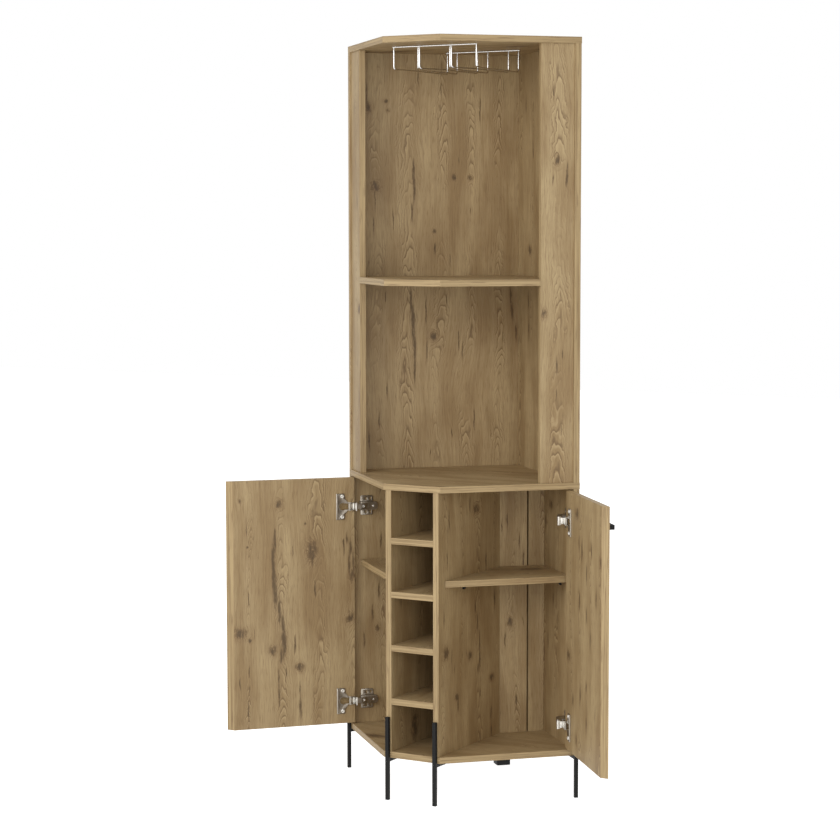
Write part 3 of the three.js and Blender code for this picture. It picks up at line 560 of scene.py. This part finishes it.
# Legs and handles: square steel tube, welded, and steel bar on two posts, powder coated matt
# black. The eye gets a fine orange peel, drawn 1 mm wide, and rounded tube corners.
powder_coat, tree, shader = new_material("black_powder_coat")
peel = add_node(tree, NOISE, {}, {
    "Vector": add_node(tree, "ShaderNodeTexCoord").outputs["Object"], "Scale": 900.0})
colour = add_node(tree, RAMP, {}, {"Fac": peel}, [(0.3, linear("0b0b0b")), (0.7, linear("131312"))])
tree.links.new(colour.outputs[0], shader.inputs["Base Color"])
shader.inputs["Roughness"].default_value = 0.55
shader.inputs["Specular IOR Level"].default_value = 0.22
bump = add_node(tree, "ShaderNodeBump", {}, {"Strength": 0.25, "Distance": 0.0001, "Height": peel})
tree.links.new(bump.outputs[0], shader.inputs["Normal"])
for side, mirror in (("right", Matrix.Identity(4)), ("left", across_mirror)):
    front_leg = Matrix.Translation((0.0642, -0.4565, 0.092))
    wing_leg = Matrix.Translation((0.314026, -0.219761, 0.092))
    wing_leg = wing_leg @ Matrix.Rotation(math.pi / 4, 4, "Z")
    for name, stands in (("front", front_leg), ("wing", wing_leg)):
        tube = eased_copy(f"leg_{name}_{side}", 0.00055, 3)
        for behind in (0.04, 0.11):
            under = mirror @ stands @ Matrix.Translation((0, behind, 0)) @ facing_down
            screw_head(tube, under, 0.0034, 0.0014)
        formed_piece(f"leg_{name}_{side}", tube, powder_coat)
    bar = eased_copy(f"handle_{side}", 0.0003)
    formed_piece(f"handle_{side}", bar, powder_coat, f"{side}_door")

# Hinges: pressed steel, bright nickel plated. The flange is screwed on the door over its pocket,
# the slotted plate on the side panel, and the arm clips over the plate. The eye gets a smooth
# satin metal, faintly clouded.
nickel_plate, tree, shader = new_material("nickel_plated_steel")
cloud = add_node(tree, NOISE, {}, {
    "Vector": add_node(tree, "ShaderNodeTexCoord").outputs["Object"], "Scale": 90.0})
colour = add_node(tree, RAMP, {}, {"Fac": cloud}, [
    (0.3, linear("9f988c")), (0.7, linear("ada69b"))])
tree.links.new(colour.outputs[0], shader.inputs["Base Color"])
shader.inputs["Metallic"].default_value = 1.0
rough = add_node(tree, RANGE, {}, {"Value": cloud, "To Min": 0.34, "To Max": 0.42})
tree.links.new(rough.outputs[0], shader.inputs["Roughness"])

# Screws, knuckles and the arm's front: the same steel, paler and satin. On the screws the paler
# colour is partly a brighter plating and partly a painted highlight; on the knuckle's bar, the pin,
# the arm's front and its head it is a painted highlight.
paler_nickel_painted_highlight, tree, shader = new_material("paler_nickel_with_painted_highlight")
cloud = add_node(tree, NOISE, {}, {
    "Vector": add_node(tree, "ShaderNodeTexCoord").outputs["Object"], "Scale": 160.0})
colour = add_node(tree, RAMP, {}, {"Fac": cloud}, [
    (0.3, linear("dedbd4")), (0.7, linear("e9e7e1"))])
tree.links.new(colour.outputs[0], shader.inputs["Base Color"])
shader.inputs["Metallic"].default_value = 1.0
rough = add_node(tree, RANGE, {}, {"Value": cloud, "To Min": 0.42, "To Max": 0.50})
tree.links.new(rough.outputs[0], shader.inputs["Roughness"])

# Where the side panel's face meets the facet: x off the panel, y forward from the facet
facet_corner = Matrix.Translation((0.308511, -0.224852, 0))
facet_corner = facet_corner @ Matrix.Rotation(-0.75 * math.pi, 4, "Z")
facet_place = {"right": facet_corner, "left": across_mirror @ facet_corner}

# The flange's places, as the door measures: along it, outward from its inner face, and up
screw_along, screw_up, screw_reach = 0.032, 0.02585, 0.0045
plate_top, proud_of_plate = -0.0017, -0.0018
bead_along, bead_off, bead_radius = 0.0425, -0.0036, 0.0014
rim_along, rim_radius, rim_wide, rim_half_degrees = 0.031, 0.009, 0.0025, 125
rim_top, rim_under = -0.0003, -0.00165
knuckle = ((0.0108, -0.0026, 0), (0.0112, 0.0042, 0.0142))
end_bar, bar_ends = ((0.0040, -0.0030, 0), (0.0026, 0.0050, 0.0180)), 0.0055
pin_place, pin_radius, pin_long = (0.0128, -0.0040, 0), 0.0014, 0.0206
past_knuckle, knuckle_half = 0.0175, 0.0073

# The arm's places, as the panel measures: off it, forward from the facet, and up
arm_back, arm_groove, arm_radius = 0.020, 0.0012, 0.0016
neck, neck_step, rear, nose_tip, nose_half = -0.0205, 0.001, -0.056, -0.0045, 0.0066
narrowed, pin_trimmed, shortened = 0.84, 0.98, 0.0065
head_blocks = (
    ((0.0235, -0.0056, 0), (0.0136, 0.0026, 0.0150)),
    ((0.0286, -0.0057, 0), (0.0036, 0.0026, 0.0164)),
    ((0.0336, -0.0056, 0), (0.0078, 0.0026, 0.0200)),
    ((0.0236, -0.0044, 0), (0.0096, 0.0010, 0.0100)),
)
# Off the panel, behind the facet, radius, finish and socket of the screw, the socket and the rivet
arm_screws = (
    (0.0233, 0.0266, 0.0034, 1, 0.26), (0.0200, 0.0412, 0.0016, 0, 0.84),
    (0.0200, 0.0520, 0.0024, 1, 0.26),
)


def rounded_blocks(shape, blocks, radius, segments):
    """Adds blocks with rounded edges, each given by its middle and its size."""
    for middle, size in blocks:
        block = bmesh.ops.create_cube(shape, size=1.0)["verts"]
        bmesh.ops.scale(shape, verts=block, vec=size)
        bmesh.ops.translate(shape, verts=block, vec=middle)
        edges = list(dict.fromkeys(edge for vertex in block for edge in vertex.link_edges))
        for face in bevel_round(shape, edges, radius, segments):
            face.smooth = True


for side in ("right", "left"):
    for level, height in hinge_heights.items():
        # Flange: the far edge is rolled to a bead, and two screws hold it
        at_door = door_place[side] @ Matrix.Translation((0, 0, height))
        from_door = at_door.inverted()
        flange = merged_copy(f"hinge_flange_{level}_{side}")
        stood = []
        for vertex in flange.verts:
            along, off, rise = from_door @ vertex.co
            from_screw = max(abs(along - screw_along), abs(abs(rise) - screw_up))
            if from_screw < screw_reach and off < proud_of_plate:
                stood.append(vertex)
        bmesh.ops.delete(flange, geom=stood, context="VERTS")
        bmesh.ops.holes_fill(flange, edges=[e for e in flange.edges if e.is_boundary], sides=0)
        bmesh.ops.dissolve_limit(flange, angle_limit=0.01, verts=flange.verts, edges=flange.edges)
        for face in flange.faces:
            face.smooth = False

        def on_bead(*ends):
            places = [from_door @ end for end in ends]
            return all(place.y < bead_off and place.x > bead_along for place in places)

        def off_bead(*ends):
            return not any((from_door @ end).x > bead_along for end in ends)

        round_off(flange, bead_radius, 4, on_bead)
        round_off(flange, 0.0003, 2, off_bead)
        for way in (-1, 1):
            stand = Matrix.Translation((screw_along, plate_top, way * screw_up))
            stand = stand @ Matrix.Rotation(math.pi / 2, 4, "X")
            screw_head(flange, at_door @ stand, 0.0047, 0.0018, 1)

        # The opening's rim narrows it to 18 mm. A knuckle lies between the ears, with a bright bar
        # at its end and a pin through it; the bar and the pin are made bright by a painted
        # highlight.
        rim = bmesh.new()
        loop = [rim.verts.new(place) for place in (
            (rim_radius, rim_top, 0), (rim_radius + rim_wide, rim_top, 0),
            (rim_radius + rim_wide, rim_under, 0), (rim_radius, rim_under, 0))]
        edges = [rim.edges.new((a, b)) for a, b in zip(loop, loop[1:] + loop[:1])]
        turned = Matrix.Rotation(math.radians(rim_half_degrees), 3, "Y")
        bmesh.ops.rotate(rim, verts=rim.verts, cent=(0, 0, 0), matrix=turned)
        bmesh.ops.spin(
            rim, geom=loop + edges, cent=(0, 0, 0), axis=(0, 1, 0),
            angle=math.radians(-2 * rim_half_degrees), steps=40,
        )
        bmesh.ops.holes_fill(rim, edges=[e for e in rim.edges if e.is_boundary], sides=0)
        bmesh.ops.translate(rim, verts=rim.verts, vec=(rim_along, 0, 0))
        rounded_blocks(rim, (knuckle, end_bar), 0.0009, 3)
        bmesh.ops.create_cone(
            rim, cap_ends=True, segments=20, radius1=pin_radius, radius2=pin_radius,
            depth=pin_long, matrix=Matrix.Translation(pin_place),
        )
        bmesh.ops.transform(rim, matrix=at_door, verts=rim.verts)
        bmesh.ops.recalc_face_normals(rim, faces=rim.faces)
        for face in rim.faces:
            middle = from_door @ face.calc_center_median()
            on_pin = middle.x < past_knuckle and abs(middle.z) > knuckle_half
            # The bar and the pin take the paler copy of the nickel: a painted highlight
            face.material_index = int(middle.x < bar_ends or on_pin)
        join_shapes(flange, rim)
        name = f"hinge_flange_{level}_{side}"
        formed_piece(name, flange, nickel_plate, f"{side}_door", paler_nickel_painted_highlight)

        plate = eased_copy(f"hinge_plate_{level}_{side}", 0.0003)
        formed_piece(f"hinge_plate_{level}_{side}", plate, nickel_plate)

        # Arm: its back is pressed round, and a screw, a socket and a rivet show in it. Its nose
        # ends in a broad head, made bright by a painted highlight, which goes into the door's
        # pocket when the door is shut.
        at_panel = facet_place[side] @ Matrix.Translation((0, 0, height))
        from_panel = at_panel.inverted()

        def on_back(*ends):
            places = [from_panel @ end for end in ends]
            return all(
                abs(place.x - arm_back) < 0.0002 and place.y < neck and abs(place.z) > arm_groove
                for place in places
            )

        arm = eased_copy(f"hinge_arm_{level}_{side}", arm_radius, 3, on_back)
        for vertex in arm.verts:
            place = from_panel @ vertex.co
            if abs(place.z) > nose_half:
                place.z *= narrowed if place.y < neck else pin_trimmed
            if place.y < rear:
                place.y += shortened
            vertex.co = at_panel @ place
        for face in arm.faces:
            middle = from_panel @ face.calc_center_median()
            # The nose's front and the neck's step take the paler copy of the nickel: a painted
            # highlight
            face.material_index = int(middle.y > nose_tip or neck - neck_step < middle.y < neck)
        head = bmesh.new()
        rounded_blocks(head, head_blocks, 0.0004, 2)
        bmesh.ops.transform(head, matrix=at_panel, verts=head.verts)
        bmesh.ops.recalc_face_normals(head, faces=head.faces)
        for face in head.faces:
            # The head takes the paler copy of the nickel: a painted highlight
            face.material_index = 1
        join_shapes(arm, head)
        for off, behind, size, finish, socket in arm_screws:
            stand = Matrix.Translation((off, -behind, 0)) @ Matrix.Rotation(math.pi / 2, 4, "Y")
            screw_head(arm, at_panel @ stand, size, 0.0009, finish, socket)
        name = f"hinge_arm_{level}_{side}"
        formed_piece(name, arm, nickel_plate, second=paler_nickel_painted_highlight)

# Wire rack: drawn steel wire, bent, welded to two crossbars and bright plated, and screwed up
# under the top. It is 3.2 mm thick to the eye, which gets round, near-white wires with glints.
bright_plate, tree, shader = new_material("bright_plated_wire")
draw = add_node(tree, NOISE, {}, {
    "Vector": add_node(tree, "ShaderNodeTexCoord").outputs["Object"], "Scale": 300.0})
colour = add_node(tree, RAMP, {}, {"Fac": draw}, [(0.3, linear("d2d1ce")), (0.7, linear("dedddb"))])
tree.links.new(colour.outputs[0], shader.inputs["Base Color"])
shader.inputs["Metallic"].default_value = 1.0
rough = add_node(tree, RANGE, {}, {"Value": draw, "To Min": 0.16, "To Max": 0.22})
tree.links.new(rough.outputs[0], shader.inputs["Roughness"])

wire_curve = bpy.data.curves.new("wires", "CURVE")
wire_curve.dimensions = "3D"
wire_radius, bend = 0.0016, 0.008
wire_curve.bevel_depth = wire_radius
wire_curve.bevel_resolution = 4
wire_curve.resolution_u = 10
wire_curve.use_fill_caps = True


def wire(corners):
    """A wire through the corners, each bent to a radius of about 8 mm."""
    corners = [Vector(corner) for corner in corners]
    spline = wire_curve.splines.new("BEZIER")
    stations = [(corners[0], None)]
    for before, corner, after in zip(corners, corners[1:], corners[2:]):
        stations.append((corner + (before - corner).normalized() * bend, corner))
        stations.append((corner + (after - corner).normalized() * bend, corner))
    stations.append((corners[-1], None))
    spline.bezier_points.add(len(stations) - 1)
    for number, (point, (place, corner)) in enumerate(zip(spline.bezier_points, stations)):
        point.co = place
        point.handle_left_type = point.handle_right_type = "FREE"
        point.handle_left = point.handle_right = place
        if corner and number % 2:
            point.handle_right = place.lerp(corner, 2 / 3)
        elif corner:
            point.handle_left = place.lerp(corner, 2 / 3)


# Heights of the fixing and of the lanes, and depths of the front, the end of the flare and the rear
hang, low = 1.7831, 1.7309
front, flare, rear = -0.3455, -0.2755, -0.1075
front_half, rear_half = 0.1136, 0.1006
mouths_wide, lanes_wide = 0.222, 0.196
wire([(-front_half, front, hang), (front_half, front, hang)])
wire([(-rear_half, rear, hang), (rear_half, rear, hang)])
for front_share, rear_share in (
    (0, 0), (0.298, 0.139), (0.315, 0.428), (0.685, 0.572), (0.702, 0.861), (1, 1),
):
    start, end = mouths_wide * (front_share - 0.5), lanes_wide * (rear_share - 0.5)
    wire([
        (start, front, hang), (start, front, low), (end, flare, low), (end, rear, low),
        (end, rear, hang),
    ])
bent = bpy.data.objects.new("wires", wire_curve)
bpy.context.scene.collection.objects.link(bent)
bpy.context.view_layer.update()
finished = bent.evaluated_get(bpy.context.evaluated_depsgraph_get())
wire_mesh = bpy.data.meshes.new_from_object(finished)
bpy.data.objects.remove(bent)
wires = bmesh.new()
wires.from_mesh(wire_mesh)
for face in wires.faces:
    face.smooth = True
formed_piece("wire_rack", wires, bright_plate)

# The studio: a pale floor, a white surround and three soft lamps
floor_mesh = bpy.data.meshes.new("floor")
shape = bmesh.new()
bmesh.ops.create_grid(shape, x_segments=1, y_segments=1, size=12)
shape.to_mesh(floor_mesh)
shape.free()
floor = bpy.data.objects.new("floor", floor_mesh)
bpy.context.scene.collection.objects.link(floor)
pale_floor, tree, shader = new_material("pale_floor")
shader.inputs["Base Color"].default_value = linear("e4e4e4")
shader.inputs["Roughness"].default_value = 0.9
# The floor glows to the camera and in reflections alone, so it looks white but adds no light
rays = add_node(tree, "ShaderNodeLightPath")
seen = add_node(tree, MATH, larger, {
    0: rays.outputs["Is Camera Ray"], 1: rays.outputs["Is Glossy Ray"]})
seen = add_node(tree, MATH, larger, {0: seen, 1: rays.outputs["Is Transmission Ray"]})
seen = add_node(tree, MATH, times, {0: seen, 1: 0.90})
shader.inputs["Emission Color"].default_value = WHITE
tree.links.new(seen.outputs[0], shader.inputs["Emission Strength"])
floor_mesh.materials.append(pale_floor)

world = bpy.data.worlds.new("surround")
bpy.context.scene.world = world
world.use_nodes = True
tree = world.node_tree
# The surround is white to the camera and in reflections, and dimmer as a light
rays = add_node(tree, "ShaderNodeLightPath")
seen = add_node(tree, MATH, larger, {
    0: rays.outputs["Is Camera Ray"], 1: rays.outputs["Is Glossy Ray"]})
seen = add_node(tree, MATH, larger, {0: seen, 1: rays.outputs["Is Transmission Ray"]})
seen = add_node(tree, RANGE, {}, {"Value": seen, "To Min": 0.60, "To Max": 1.0})
tree.nodes["Background"].inputs["Color"].default_value = WHITE
tree.links.new(seen.outputs[0], tree.nodes["Background"].inputs["Strength"])


def lamp(name, place, aim, size, power):
    """A square lamp, aimed at a point."""
    made = bpy.data.lights.new(name, "AREA")
    made.shape = "SQUARE"
    made.size = size
    made.energy = power
    item = bpy.data.objects.new(name, made)
    item.location = place
    item.rotation_euler = (Vector(aim) - Vector(place)).to_track_quat("-Z", "Y").to_euler()
    bpy.context.scene.collection.objects.link(item)


lamp("key_lamp", (-0.9, -3.8, 2.2), (0, -0.2, 0.9), 2.4, 56)
lamp("fill_lamp", (2.1, -3.7, 1.5), (0, -0.2, 0.8), 2.6, 46)
lamp("top_lamp", (0.2, -1.2, 3.6), (0, -0.2, 1.0), 2.0, 3)

# The camera: the photograph's standpoint, a long lens level with the upper shelf
camera_data = bpy.data.cameras.new("camera")
camera_data.sensor_width = 36.0
camera_data.lens = 100.378
camera_data.shift_x = -0.019715
camera_data.shift_y = 0.005745
camera_data.clip_end = 100.0
camera = bpy.data.objects.new("camera", camera_data)
camera.location = (2.7255, -5.18005, 1.37171)
tilt, roll, heading = -0.0866012, 0.0003736, 0.5125856
camera.rotation_euler = (math.pi / 2 + tilt, roll, heading)
bpy.context.scene.collection.objects.link(camera)
bpy.context.scene.camera = camera
bpy.context.scene.view_settings.view_transform = "Standard"
